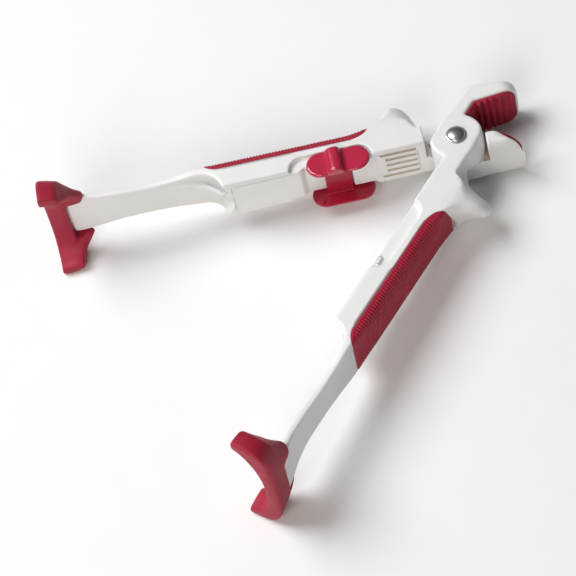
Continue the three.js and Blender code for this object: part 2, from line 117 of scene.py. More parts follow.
def cut(a, b, reach=0.5):
    """Field a with field b taken away."""
    return -soft_min(-a, b, reach)


def box(x, y, z, low, high):
    """A block between two corners."""
    sides = [abs(v - (a + b) / 2) - (b - a) / 2 for v, a, b in zip((x, y, z), low, high)]
    return np.maximum(np.maximum(sides[0], sides[1]), sides[2])


def disc(x, y, radius, centre=(0, 0)):
    return np.hypot(x - centre[0], y - centre[1]) - radius


def stadium(x, y, ends, radius):
    """A slot shape with round ends, centred on y = 0."""
    low, high = ends[0] + radius, ends[1] - radius
    return np.hypot(x - np.clip(x, low, high), y) - radius


def ramp(value, start, end):
    """Rises smoothly from 0 to 1 between start and end."""
    t = np.clip((value - start) / (end - start), 0, 1)
    return t * t * (3 - 2 * t)


def rounded_plate(along, z, length, radius):
    """A plate of the arm's width whose two corners at the far end are round."""
    p = along - (length - radius)
    q = abs(z) - (HALF_WIDTH - radius)
    return np.hypot(np.maximum(p, 0), np.maximum(q, 0)) + np.minimum(np.maximum(p, q), 0) - radius


def curve(*stations):
    """A smooth curve through (place, value) stations that never overshoots them."""
    places, values = np.array(sorted(stations), float).T
    steps = np.diff(values) / np.diff(places)
    slopes = np.zeros_like(values)
    for i in range(1, len(values) - 1):
        if steps[i - 1] * steps[i] > 0:
            slopes[i] = 2 / (1 / steps[i - 1] + 1 / steps[i])

    def at(x):
        x = np.clip(x, places[0], places[-1])
        i = np.clip(np.searchsorted(places, x) - 1, 0, len(places) - 2)
        width = places[i + 1] - places[i]
        t = (x - places[i]) / width
        start = (1 + 2 * t) * (1 - t) ** 2 * values[i] + t * (1 - t) ** 2 * width * slopes[i]
        finish = t * t * (3 - 2 * t) * values[i + 1] + t * t * (t - 1) * width * slopes[i + 1]
        return start + finish

    return at


def rounded_outline(*corners):
    """Closed outline from corners (x, y, reach): a corner is round from reach before it to reach after it."""
    steps = 6
    points = []
    for i, (x, y, reach) in enumerate(corners):
        here = Vector((x, y))
        if reach == 0:
            points.append((x, y))
            continue
        start = here + (Vector(corners[i - 1][:2]) - here).normalized() * reach
        end = here + (Vector(corners[(i + 1) % len(corners)][:2]) - here).normalized() * reach
        for step in range(steps + 1):
            t = step / steps
            points.append(tuple(start.lerp(here, t).lerp(here.lerp(end, t), t)))
    return points


def outline(points, x, y):
    """Signed distance to a closed outline."""
    shape = np.broadcast(x, y).shape
    nearest = np.full(shape, 1e9)
    inside = np.zeros(shape, bool)
    for (ax, ay), (bx, by) in zip(points, points[1:] + points[:1]):
        ex, ey = bx - ax, by - ay
        if abs(ex) + abs(ey) < 1e-6:
            continue
        t = np.clip(((x - ax) * ex + (y - ay) * ey) / (ex * ex + ey * ey), 0, 1)
        nearest = np.minimum(nearest, (x - ax - t * ex) ** 2 + (y - ay - t * ey) ** 2)
        if ay != by:
            inside ^= ((ay > y) != (by > y)) & (x < ax + (y - ay) * ex / (by - ay))
    return np.where(inside, -1, 1) * np.sqrt(nearest)


# ---------------------------------------------------------------- meshes from fields

FIELD_LIMIT = 3.0

def gradient(field, points, step=0.04):
    slopes = []
    for axis in range(3):
        ahead, behind = points.copy(), points.copy()
        ahead[:, axis] += step
        behind[:, axis] -= step
        slopes.append((field(*ahead.T) - field(*behind.T)) / (2 * step))
    return np.stack(slopes, axis=1)


def moulded(name, arm, field, low, high, cell, adaptivity=0.0):
    """The mesh of a field inside a box, as a new object in the frame's place for that arm."""
    cell = np.array(cell, float)
    axes = [np.arange(a, b + c, c) for a, b, c in zip(low, high, cell)]
    values = field(*np.meshgrid(*axes, indexing="ij", sparse=True))
    grid = openvdb.FloatGrid(FIELD_LIMIT)
    grid.copyFromArray(np.clip(values, -FIELD_LIMIT, FIELD_LIMIT).astype(np.float32))
    points, triangles, quads = grid.convertToPolygons(isovalue=0, adaptivity=adaptivity)
    points = np.array(low) + points * cell

    # Each point is moved onto the exact surface, which leaves no trace of the cells.
    for _ in range(3):
        slope = gradient(field, points)
        size = np.maximum((slope**2).sum(axis=1), 0.05)
        move = (field(*points.T) / size)[:, None] * slope
        points -= np.clip(move, -0.5 * cell, 0.5 * cell)
    normals = gradient(field, points)
    normals /= np.maximum(np.linalg.norm(normals, axis=1), 1e-6)[:, None]

    placed = np.array(PIVOT) + MM * points @ ARM_AXES[arm]
    normals = normals @ ARM_AXES[arm]
    faces = triangles.tolist() + quads.tolist()
    if arm == "arm_b":
        faces = [face[::-1] for face in faces]
    return mesh_object(name, placed, faces, normals)


def mesh_object(name, points, faces, normals=None):
    mesh = bpy.data.meshes.new(name)
    mesh.from_pydata(points.tolist(), [], faces)
    mesh.shade_smooth()
    if normals is not None:
        mesh.normals_split_custom_set_from_vertices(normals.tolist())
    made = bpy.data.objects.new(name, mesh)
    bpy.context.scene.collection.objects.link(made)
    return made


# ---------------------------------------------------------------- arm frames

BLADE_INNER = curve(
    (BLADE_END, 19.8), (-238.6, 19.2), (-237.2, 18.0), (-227, 15.6), (-216, 13.8), (-204, 13.0), (-188, 12.8),
)
BLADE_OUTER = curve(
    (BLADE_END, 21.8), (-237.5, 21.4), (-227, 19.6), (-216, 18.0), (-204, 17.6), (-188, 17.8),
    (-160, OUTER_EDGE), (-31, OUTER_EDGE), (-22, NECK_EDGE),
)
ARM_HALF_WIDTH = curve(
    (BLADE_END, 16.0), (-240.6, 17.0), (-239.9, 18.6), (-232, 17.6), (-222, 15.6), (-208, 13.4),
    (-188, 12.5), (-172, 13.4), (-158, 15.4), (-146, HALF_WIDTH),
)
BLADE_DROP = curve((-240, 4.4), (-230, 3.2), (-218, 1.2), (-204, 0))
EDGE_ROUNDING = curve((-160, 1.8), (-140, 1.4), (-34, 1.4), (-16, 1.8))

# The handle body's end: it waves across the width, leans with y and blends into the blade.
BODY_END_WAVE = 3.2
BODY_END_WAVE_WIDTH = 17
BODY_END_LEAN = 0.22
BODY_FILLET = 12.3
BODY_ROUNDING = 1.4
RIDGE_X = (-184, -136)
RIDGE_RADIUS = 2.6

# The spur, by y: its two edges in x, and its half width.
SPUR_FOOT = 4
SPUR_TOP = 38
SPUR_LEAD = curve((4, -18), (12, -19.5), (18.5, -20.5), (24, -22), (30, -24), (34.5, -25.2), (38, -26.6))
SPUR_TRAIL = curve((4, -55), (12, -53), (18.5, -46.5), (24, -41.5), (30, -38.0), (34.5, -36.0), (38, -35.0))
SPUR_HALF_WIDTH = curve((17, HALF_WIDTH), (20, 15.8), (24, 14.8), (30, 12.6), (34.5, 11.0), (38, 10.0))
SPUR_TIP = 38.6
SPUR_LEAN = 0.42
SPUR_ROUNDING = 8.0
SPUR_FILLET = 3.0
SPUR_REACH_X = -80

GRIP_END = -46.5
GRIP_OUTLINE = rounded_outline(
    (-152.5, 19.0, 0.6), (-152.5, 18.0, 0.3), (-147.5, 13.6, 4.5), (-55, 13.6, 7.5),
    (GRIP_END, 19.6, 0.4), (GRIP_END, 20.4, 0.4), (-70, 21.4, 0), (-92, 21.6, 0), (-120, 20.9, 0),
)
GRIP_CROWN = curve(
    (-17, 15.4), (-15, 17.9), (-11, 20.0), (-6, 21.2), (0, 21.6),
    (6, 21.2), (11, 20.0), (15, 17.9), (17, 15.4),
)
GRIP_OVERHANG = 0.35
GRIP_RIB_PITCH = 1.95
GRIP_RIB_DEPTH = 0.22
GRIP_BORDER = 1.4
SEAT_GAP = 0.12
GRIP_CORE_Y = 15.9
GRIP_CORE_Z = 13.7


def spur_side(x, y, z):
    """The spur seen along the pivot axis; it leans back towards the rear face."""
    height = np.clip(y, SPUR_FOOT, SPUR_TOP)
    p = x + SPUR_LEAN * np.minimum(1, height / 24) * z
    side = np.maximum(SPUR_TRAIL(height) - p, p - SPUR_LEAD(height))
    return np.maximum(soft_max(side, y - SPUR_TIP, 5.0), 3 - y)


def arm_width(x, y, z):
    """How far a place is beyond the arm's width, which narrows up the spur."""
    spur_width = np.where(x > SPUR_REACH_X, abs(z) - SPUR_HALF_WIDTH(y), -HALF_WIDTH)
    return np.maximum(abs(z + BLADE_DROP(x)) - ARM_HALF_WIDTH(x), spur_width)


def edge_rounding(x, y):
    """The edges between the faces and the sides are much rounder on the spur."""
    return EDGE_ROUNDING(x) + SPUR_ROUNDING * ramp(y, 17, 27)


def handle_side(x, y, z):
    """The handle seen along the pivot axis; the end of its body waves a little across the width."""
    wave = BODY_END_WAVE * (1 + np.cos(np.pi * (z + 1) / BODY_END_WAVE_WIDTH))
    end = BODY_END + wave - BODY_END_LEAN * y - x
    body = soft_max(INNER_EDGE - y, end, BODY_ROUNDING)
    inner = soft_min(BLADE_INNER(x) - y, body, BODY_FILLET)
    return np.maximum(np.maximum(inner, y - BLADE_OUTER(x)), np.maximum(x, BLADE_END - x))


def ridge(x, y, z):
    """Curved rib that runs from the blade's inner face up into the end of the body."""
    t = np.clip((x + 176) / 32, 0, 1)
    track = 8.5 - 7.5 * t * t
    top = 12.4 - 7.5 * t**4
    radius = RIDGE_RADIUS * ramp(x, -182, -160) * ramp(-x, 137, 146) - 0.8
    near = np.hypot(z - track, y - top) - radius
    far = 5.0
    return np.where((x > RIDGE_X[0]) & (x < RIDGE_X[1]), near, far)


def grip_edge(x, y, z):
    """The grip's outline; its end at the spur leans the way the spur does and is round at the back."""
    near_spur = np.clip((x + 86) / 36, 0, 1)
    leaning = x + SPUR_LEAN * (z - 10.5) * near_spur * near_spur
    front_corner, back_corner = 7, 10
    corner = np.where(z > 0, front_corner, back_corner)
    end = soft_max(leaning - GRIP_END, abs(z) - HALF_WIDTH - GRIP_OVERHANG, corner)
    return leaning, soft_max(outline(GRIP_OUTLINE, leaning, y), end, 1.0)


def grip_body(x, y, z):
    """The grip without its ribs; its end at the spur rises with the spur's root."""
    leaning, edge = grip_edge(x, y, z)
    top = GRIP_CROWN(z) + 1.8 * ramp(leaning, -66, -48)
    crown = soft_max(0.75 * (y - top), abs(z) - HALF_WIDTH - GRIP_OVERHANG, 2.5)
    return leaning, soft_max(edge, crown, 0.9)


def grip_seat(x, y, z):
    """The recess that the grip lies in, round the core that it wraps."""
    core = np.maximum(y - GRIP_CORE_Y, abs(z) - GRIP_CORE_Z)
    return np.maximum(grip_edge(x, y, z)[1] - 0.02, -core)


def shared_cuts(base, x, y, z):
    """What both arms have: the hollow under the cover, the latch pockets and the cover screws' holes."""
    hollow = np.minimum(
        box(x, y, z, (-138, -2, -10.3), (-24, 13.2, 10.3)),
        box(x, y, z, (-137.7, -2, -12.0), (-24.3, 2.9, 12.0)),
    )
    pocket = soft_max(stadium(x, y, POCKET_X, POCKET_RADIUS), POCKET_FLOOR - abs(z), 2.2)
    shape = cut(base, grip_seat(x, y, z), 0.4)
    shape = cut(shape, hollow, 0.1)
    shape = cut(shape, pocket, 1.0)
    for place in COVER_SCREWS:
        head = np.maximum(disc(x, y, COVER_SCREW_HEAD, (place, COVER_SCREW_Y)), z + 13.7)
        shank = np.maximum(disc(x, y, COVER_SCREW_SHANK, (place, COVER_SCREW_Y)), z + 9)
        shape = cut(shape, np.minimum(head, shank), 0.4)
    return shape


def latch_channel(x, y):
    """The shallow channel the latch's web slides in; its wall towards the spreader slopes gently."""
    slope = 0.62 * (CHANNEL_X[0] - x + 1.3 * (y - CHANNEL_FLOOR))
    return soft_max(np.maximum(slope, x - CHANNEL_X[1]), y - CHANNEL_FLOOR, 0.8)


def lap_room(x, y, z, face):
    """Where the other arm's half of the lap joint turns."""
    return np.maximum(disc(x, y, LAP_CLEARANCE), -face * z - LAP_GAP)


def soft_boss(x, y, z, flat_edge):
    """Half-lap disc whose outer side slopes softly away from the faces."""
    slope = 0.86 * (y - 12.2) + 0.5 * (abs(z) - HALF_WIDTH)
    return soft_max(soft_max(disc(x, y, BOSS_RADIUS), -flat_edge - y, 2), slope, 4)


def spring_room(x, y, z, low, high):
    """The round room of the spring and the slot of its leg, between two heights."""
    leg = box(x, y, z, (-16.6, 7.2, low), (0, 9.6, high))
    return np.minimum(np.maximum(disc(x, y, 10.4), np.maximum(low - z, z - high)), leg)


WEDGE_JAW = rounded_outline(
    (0, -FIRST_NECK_EDGE, 0), (38.6, -FIRST_NECK_EDGE, 1.2), (39.4, -10.9, 0.4), (37.0, -10.8, 0.2),
    (22.6, -1.6, 1.6), (0, -1.2, 0),
)

BENT_JAW = rounded_outline(
    (0, -NECK_EDGE, 0), (14, -12.6, 4), (35.8, -11.2, 4.5), (52.2, 11.0, 3), (48.6, 15.4, 1.2),
    (46.4, 14.4, 0.4), (27.0, -3.6, 1.4), (0, -3.2, 0),
)


def gripping_face(x, y, start, cos, sin):
    """How far a place is along and above a jaw's sloped gripping face, from the face's start."""
    along = (x - start[0]) * cos + (y - start[1]) * sin
    above = -(x - start[0]) * sin + (y - start[1]) * cos
    return along, above


def first_frame(x, y, z):
    """The arm that carries the rivet, the latch and the wedge jaw."""
    jaw = outline(WEDGE_JAW, x, y)
    side = soft_min(soft_min(handle_side(x, y, z), soft_boss(x, y, z, FIRST_NECK_EDGE), 3), jaw, 2)
    side = soft_min(side, spur_side(x, y, z), SPUR_FILLET)
    width = arm_width(x, y, z)
    width = np.where(x > 0, np.maximum(width, wedge_plan(x, z)), width)
    # The wedge's long front edge is well rounded on the side away from the pad.
    well_rounded = 5 * ramp(x, 8, 20) * ramp(-y, 1, 8) * ramp(z, 0, 6)
    shape = soft_max(side, width, edge_rounding(x, y) + well_rounded)
    shape = soft_min(shape, ridge(x, y, z), 2.5)
    shape = shared_cuts(shape, x, y, z)
    step = np.minimum(
        box(x, y, z, (-19.2, -20, -LAP_GAP), (0, 20, 20)),
        box(x, y, z, (0, -20, -LAP_GAP), (17.0, 0, 20)),
    )
    shape = cut(shape, np.minimum(lap_room(x, y, z, 1), step), 0.8)
    shape = cut(shape, latch_channel(x, y), 0.6)
    # The latch's screw slides in a slot through the handle.
    nearest_end = np.clip(x, LATCH_SCREW[0] - SLOT_LENGTH, LATCH_SCREW[0] + 0.5)
    slot = np.hypot(x - nearest_end, y - LATCH_SCREW[1]) - LATCH_SCREW_BORE
    shape = cut(shape, slot, 0.4)
    shape = cut(shape, disc(x, y, PIN_RADIUS + 0.3), 0.4)
    shape = cut(shape, np.maximum(disc(x, y, 7.6), z + 12.6), 0.6)
    return cut(shape, spring_room(x, y, z, -4.8, 2), 0.3)


def second_frame(x, y, z):
    """The arm with the bent jaw and the stops that the latch's pegs lock behind."""
    jaw = outline(BENT_JAW, x, y)
    side = soft_min(soft_min(handle_side(x, y, z), soft_boss(x, y, z, NECK_EDGE), 1.5), jaw, 2)
    side = soft_min(side, spur_side(x, y, z), SPUR_FILLET)
    along_nose, _ = gripping_face(x, y, NOSE_START, math.cos(NOSE_ANGLE), math.sin(NOSE_ANGLE))
    width = arm_width(x, y, z)
    width = np.where(x > 0, np.maximum(width, rounded_plate(along_nose, z, 26.9, 9)), width)
    shape = soft_max(side, width, edge_rounding(x, y))
    shape = soft_min(shape, ridge(x, y, z), 2.5)
    shape = shared_cuts(shape, x, y, z)
    shape = cut(shape, lap_room(x, y, z, -1), 0.8)
    stop = soft_max(box(x, y, z, (-98.5, 1, 12), (-93.5, 3.9, 14.5)), disc(x, y, 4, (-96, 1.5)), 0.8)
    stop_back = box(x, y, z, (-98.5, 1, -14.5), (-93.5, 3.9, -12))
    shape = soft_min(shape, np.minimum(stop, stop_back), 0.8)
    shape = cut(shape, disc(x, y, PIN_RADIUS + 0.3), 0.4)
    return cut(shape, spring_room(x, y, z, -2, 4.8), 0.3)


# ---------------------------------------------------------------- arm fittings

GROOVE_STARTS = (-46.9, -43.6, -43.5, -43.9, -46.6)
GROOVE_PITCH = 5.3
GROOVE_HALF = 1.15
GROOVE_FLOOR = 1.25


def cover_field(with_channel):
    """The field of an inner cover; the first arm's also carries the latch's channel."""

    def field(x, y, z):
        plate = box(x, y, z, (-137.9, INNER_EDGE, -12.2), (-24.1, 2.6, 12.2))
        for place in COVER_SCREWS:
            post = box(x, y, z, (place - 3.2, 2, -8.6), (place + 3.2, 9.6, -1))
            hole = np.maximum(disc(x, y, COVER_SCREW_SHANK, (place, COVER_SCREW_Y)), z + 1.8)
            plate = np.minimum(plate, np.maximum(post, -hole))
        for i, start in zip(range(-2, 3), GROOVE_STARTS):
            low, high = (start, -2, -GROOVE_HALF), (-25, GROOVE_FLOOR, GROOVE_HALF)
            plate = cut(plate, box(x, y, z - i * GROOVE_PITCH, low, high), 0.5)
        if with_channel:
            dish = box(x, y, z, (CHANNEL_X[0] - 1.6, 2, -10), (CHANNEL_X[1] + 1.6, 4.4, 10))
            plate = cut(np.minimum(plate, dish), latch_channel(x, y), 0.6)
        return plate

    return field


def grip_field(x, y, z):
    """The soft grip, hollow where it wraps the handle's core."""
    leaning, shape = grip_body(x, y, z)
    # Fine cross ribs inside a smooth border.
    border = outline(GRIP_OUTLINE, leaning, np.minimum(y, 17.2))
    inside = np.clip((-border - GRIP_BORDER) / 0.8, 0, 1)
    ribs = GRIP_RIB_DEPTH * (1 - np.cos(2 * np.pi * x / GRIP_RIB_PITCH)) * inside
    core = np.maximum(y - GRIP_CORE_Y - SEAT_GAP, abs(z) - GRIP_CORE_Z - SEAT_GAP)
    return cut(shape + ribs, core, 0.4)


# The spreader by x: its height to the front and to the rear, its depth, and its hollow's mouth and depth.
SPREADER_FRONT = curve(
    (SPREADER_FREE_X, 40.8), (SPREADER_ROOT_X, 38.5), (-236, 33.5), (-232.5, 28), (-228, 23), (-220, 19),
)
SPREADER_REAR = curve(
    (SPREADER_FREE_X, 40.8), (SPREADER_ROOT_X, 39), (-236, 36.8), (-232.5, 33.8), (-228, 30), (-220, 27),
)
SPREADER_DEPTH = curve((SPREADER_FREE_X, 25), (SPREADER_ROOT_X, 23.4), (-220, 21.2))
SPREADER_MOUTH = curve((SPREADER_FREE_X, 33), (SPREADER_ROOT_X, 31.4))
SPREADER_HOLLOW = curve((SPREADER_FREE_X, 16.4), (SPREADER_ROOT_X, 15.2))
SPREADER_SQUARENESS = 3.4
FREE_EDGE_ROUNDING = curve((-28, 2.4), (0, 5.0), (22, 7.0), (35, 3.0), (41, 2.2))
ROOT_BY_WIDTH = curve((-30, -236.4), (-18, -238.8), (10, -239.4), (30, -239.8))
ROOT_BY_DEPTH = curve((18, -239.8), (20.5, -235.6))
LOBE_FLOOR = curve((-240.5, 0.4), (-236, 5.6), (-232.5, 11.4), (-226, 14.6))
FRONT_LOBE = rounded_outline(
    (-244, 37, 0), (-239.4, 37, 0.5), (-233.0, 27.5, 4), (-228.4, 21.0, 3), (-225.8, 16.0, 3),
    (-227.8, 9.6, 2.6), (-238.8, 9.2, 2), (-240.2, 2, 0), (-244, 2, 0),
)
REAR_LOBE = rounded_outline(
    (-244, -39, 0), (-236.8, -39, 0.5), (-232.4, -32.4, 3), (-228.0, -27.4, 2), (-225.6, -22.4, 1.6),
    (-230.6, -20.8, 2), (-236.4, -25.0, 2.6), (-239.2, -23.6, 2), (-241.2, -12, 0), (-244, -12, 0),
)


def blade_field(x, y, z):
    """The blade alone, which the spreader is moulded round."""
    side = np.maximum(np.maximum(BLADE_INNER(x) - y, y - BLADE_OUTER(x)), BLADE_END - x)
    return soft_max(side, arm_width(x, y, z), EDGE_ROUNDING(x))


def spreader_field(x, y, z):
    """Half of an oval cuff, with two lobes that reach along the blade."""
    height = np.where(z > 0, SPREADER_FRONT(x), SPREADER_REAR(x))
    depth = SPREADER_DEPTH(x) - INNER_EDGE
    rise = np.maximum(y - INNER_EDGE, 0)
    power = SPREADER_SQUARENESS
    squareness = (abs(z / height) ** power + (rise / depth) ** power) ** (1 / power) + 1e-6
    outer = np.hypot(rise, z) * (1 - 1 / squareness)
    outer = np.maximum(outer, abs(z) - height)
    # The hollow is a round arch towards the front and a squarer one towards the back.
    mouth, hollow = SPREADER_MOUTH(x), SPREADER_HOLLOW(x) - INNER_EDGE
    mouth = np.where(z > 0, mouth, mouth + 1.6)
    power = np.where(z > 0, 2.0, 4.0)
    across, deep = abs(z) / mouth, rise / hollow
    level = across**power + deep**1.5 - 1
    steepness = np.hypot(power * across ** (power - 1) / mouth, 1.5 * deep**0.5 / hollow)
    inner = level / np.maximum(steepness, 0.02)
    section = soft_max(soft_max(outer, SPREADER_FREE_X - x, FREE_EDGE_ROUNDING(z)), -inner, 2.2)
    section = soft_max(section, np.maximum(INNER_EDGE - y, SPREADER_FREE_X - x), 2.0)
    band = x - np.maximum(ROOT_BY_WIDTH(z), ROOT_BY_DEPTH(y))
    lobes = np.minimum(outline(FRONT_LOBE, x, z), outline(REAR_LOBE, x, z))
    lobes = soft_max(lobes, 0.6 * (LOBE_FLOOR(x) - y), 2.0)
    shape = soft_max(section, soft_min(band, lobes, 3.0), 2.0)
    return cut(shape, blade_field(x, y, z) - SEAT_GAP, 0.3)


def wedge_plan(x, z):
    """The wedge jaw's end seen from its side; the corner is rounder towards the front."""
    return np.where(z > 0, rounded_plate(x, z, JAW_TIP, 13), rounded_plate(x, z, JAW_TIP, 8))


def wedge_pad_field(x, y, z):
    """The thin ribbed pad that lies over the wedge jaw's slope."""
    slope = (13.6, -9.1)
    length = math.hypot(*slope)
    along, above = gripping_face(x, y, (22.4, -0.5), slope[0] / length, slope[1] / length)
    plan = wedge_plan(x, z) + 1.8
    rib_pitch = 3.2
    ribs = 0.35 * (1 + np.cos(2 * np.pi * along / rib_pitch)) * ramp(along, 0.5, 2.5) * ramp(-plan, 0.2, 1.8)
    flat = np.maximum(y + 0.5, 17.8 - x)
    top = soft_max(above + 0.1 - ribs, flat, 1.0)
    jaw = outline(WEDGE_JAW, x, y)
    pad = np.maximum(top, -jaw + 0.1)
    pad = np.maximum(pad, jaw - 1.9)
    pad = np.maximum(pad, -11.0 - y)
    return soft_max(pad, plan, 0.8)


def bent_pad_field(x, y, z):
    """The thick pad under the bent jaw's nose."""
    along, above = gripping_face(x, y, (26.2, -2.2), math.cos(NOSE_ANGLE), math.sin(NOSE_ANGLE))
    # Bold ribs across the nose, lower towards the tip and held back from the pad's own edge.
    plan = rounded_plate(along, z, 26.2, 8.6) + 0.9
    rib_height = 2.3 - 0.09 * along
    rib_pitch = 3.95
    wave = 0.5 + 0.5 * np.cos(2 * np.pi * (along - 2.4) / rib_pitch)
    ribs = rib_height * wave**0.7 * ramp(along, -2, 1.5) * np.clip((-plan - 0.2) / 1.2, 0, 1)
    top = soft_min(above - 0.15 - ribs, y + 1.9, 1.5)
    pad = soft_max(np.maximum(top, 0.08 - outline(BENT_JAW, x, y)), plan, 1.0)
    return np.maximum(pad, np.maximum(17.3 - np.hypot(x, y), -1.5 - above))


# ---------------------------------------------------------------- latch

LATCH_TOP = curve(
    (LATCH_X[0], 17.1), (-84, 17.2), (-79.2, 17.4), (-78.3, 18.9), (-77.3, 19.7), (-75.8, 20.4),
    (-74.0, 20.7), (-72.2, 20.5), (-70.6, 19.6), (-69.3, 17.2), (-67.2, 16.4), (-64, 16.7),
    (-58, 17.1), (LATCH_X[1], 17.1),
)


def latch_common(x, y, z, face):
    """A plate's rim, the level above the middle on its face, and the foot and peg under it."""
    rim = stadium(x, y, LATCH_X, LATCH_RADIUS)
    level = face * z
    foot = np.maximum(box(x, y, level, (-88, 3.3, 13.3), (-58, 8.2, 15.4)), rim + 0.5)
    peg = np.maximum(disc(x, y, 1.3, (-86, -5.6)), np.maximum(13.4 - level, level - 15.4))
    return rim, level, np.minimum(foot, peg)


def latch_front_field(x, y, z):
    """The plate with the thumb ridge."""
    rim, level, under = latch_common(x, y, z, 1)
    top = (level - LATCH_TOP(x)) * 0.7
    plate = soft_max(soft_max(rim, top, 1.8), PLATE_UNDERSIDE - level, 0.8)
    shape = np.minimum(plate, under)
    return cut(shape, np.maximum(disc(x, y, LATCH_SCREW_BORE, LATCH_SCREW), level - 15.6), 0.3)


def latch_back_field(x, y, z):
    """The plain plate, with the web that crosses the handle's inner edge."""
    rim, level, under = latch_common(x, y, z, -1)
    plate = soft_max(soft_max(rim, level - PLATE_FACE, 1.8), PLATE_UNDERSIDE - level, 0.8)
    web = box(x, y, z, (WEB_X[0], INNER_EDGE - 0.6, -15.4), (WEB_X[1], CHANNEL_FLOOR - 0.2, 14.75))
    web = soft_max(web, abs(x - sum(WEB_X) / 2) - (WEB_X[1] - WEB_X[0]) / 2, 0.8)
    shape = soft_min(np.minimum(plate, under), web, 1.2)
    screw_head = np.maximum(disc(x, y, 2.4, LATCH_SCREW), 15.6 - level)
    hole = np.minimum(disc(x, y, LATCH_SCREW_BORE, LATCH_SCREW), screw_head)
    return cut(shape, np.maximum(hole, z), 0.3)


# ---------------------------------------------------------------- rivet

RIVET_FACE = 17.1
RIVET_DOME = (5.4, 2.0)
RIVET_TAIL = -14.4


def turned(name, arm, profile, segments=96):
    """A turned piece about the pivot axis, from its (radius, height) profile that ends on the axis."""
    profile = np.array(profile, float)
    angles = np.linspace(0, 2 * np.pi, segments, endpoint=False)
    rings = [
        np.stack([r * np.cos(angles), r * np.sin(angles), np.full(segments, h)], axis=1)
        for r, h in profile if r > 0
    ]
    points = np.concatenate(rings + [[[0, 0, profile[0][1]]], [[0, 0, profile[-1][1]]]])
    count = len(rings)
    faces = []
    for ring in range(count - 1):
        for i in range(segments):
            j = (i + 1) % segments
            a, b = ring * segments, (ring + 1) * segments
            faces.append([a + i, a + j, b + j, b + i])
    first, last = count * segments, count * segments + 1
    for i in range(segments):
        j = (i + 1) % segments
        faces.append([first, j, i])
        faces.append([last, (count - 1) * segments + i, (count - 1) * segments + j])
    placed = np.array(PIVOT) + MM * points @ ARM_AXES[arm]
    return mesh_object(name, placed, [face[::-1] for face in faces])


def rivet_profile():
    """Domed head, flange, shank and the tail that is closed over at the back."""
    radius, rise = RIVET_DOME
    dome = [(radius * math.sin(a), RIVET_FACE + rise * math.cos(a)) for a in np.linspace(0, math.pi / 2, 14)]
    flange = [(5.55, 17.0), (6.0, 16.95), (6.1, 16.8), (6.1, 16.4), (6.0, 16.3)]
    shank = [(PIN_RADIUS, 16.3), (PIN_RADIUS, RIVET_TAIL)]
    tail = [(4.5, -14.45), (4.6, -14.6), (4.4, -15.4), (4.0, -15.7), (0, -15.8)]
    return dome + flange + shank + tail


# ---------------------------------------------------------------- materials


class Nodes:
    """A material and short ways to add nodes to it."""

    def __init__(self, name):
        self.material = bpy.data.materials.new(name)
        self.material.use_nodes = True
        self.tree = self.material.node_tree
        self.shader = self.tree.nodes["Principled BSDF"]
        self.place = self.tree.nodes.new("ShaderNodeTexCoord").outputs["Object"]

    def link(self, source, target):
        self.tree.links.new(source, target)

    def noise(self, scale, detail=3, stretch=(1, 1, 1)):
        mapping = self.tree.nodes.new("ShaderNodeMapping")
        mapping.inputs["Scale"].default_value = stretch
        noise = self.tree.nodes.new("ShaderNodeTexNoise")
        noise.inputs["Scale"].default_value = scale
        noise.inputs["Detail"].default_value = detail
        self.link(self.place, mapping.inputs["Vector"])
        self.link(mapping.outputs["Vector"], noise.inputs["Vector"])
        return noise.outputs["Fac"]

    def ramp(self, factor, low, high, start=0.3, end=0.7):
        ramp = self.tree.nodes.new("ShaderNodeValToRGB")
        for stop, place, colour in zip(ramp.color_ramp.elements, (start, end), (low, high)):
            stop.position = place
            stop.color = (*colour, 1)
        self.link(factor, ramp.inputs["Fac"])
        return ramp.outputs["Color"]

    def spread(self, factor, low, high):
        spread = self.tree.nodes.new("ShaderNodeMapRange")
        spread.inputs["From Min"].default_value = 0.3
        spread.inputs["From Max"].default_value = 0.7
        spread.inputs["To Min"].default_value = low
        spread.inputs["To Max"].default_value = high
        self.link(factor, spread.inputs["Value"])
        return spread.outputs["Result"]

    def bump(self, height, distance, strength=1.0):
        bump = self.tree.nodes.new("ShaderNodeBump")
        bump.inputs["Distance"].default_value = distance
        bump.inputs["Strength"].default_value = strength
        self.link(height, bump.inputs["Height"])
        self.link(bump.outputs["Normal"], self.shader.inputs["Normal"])


def mould_material(name, low, high, roughness, grain, depth, gloss=0.5):
    """Moulded plastic or soft rubber: a faint drift of colour, an uneven gloss and a fine moulded grain."""
    n = Nodes(name)
    n.link(n.ramp(n.noise(55, 4), low, high), n.shader.inputs["Base Color"])
    n.link(n.spread(n.noise(140, 5), *roughness), n.shader.inputs["Roughness"])
    n.bump(n.noise(grain, 2), depth, 0.35)
    n.shader.inputs["Specular IOR Level"].default_value = gloss
    return n.material


def steel_material(name, shade, roughness, stretch):
    n = Nodes(name)
    low = [0.86 * shade] * 3
    n.link(n.ramp(n.noise(160, 5, stretch), low, [shade, shade, 1.02 * shade]), n.shader.inputs["Base Color"])
    n.link(n.spread(n.noise(700, 4, stretch), *roughness), n.shader.inputs["Roughness"])
    n.bump(n.noise(1500, 2, stretch), 0.00002, 0.3)
    n.shader.inputs["Metallic"].default_value = 1.0
    return n.material


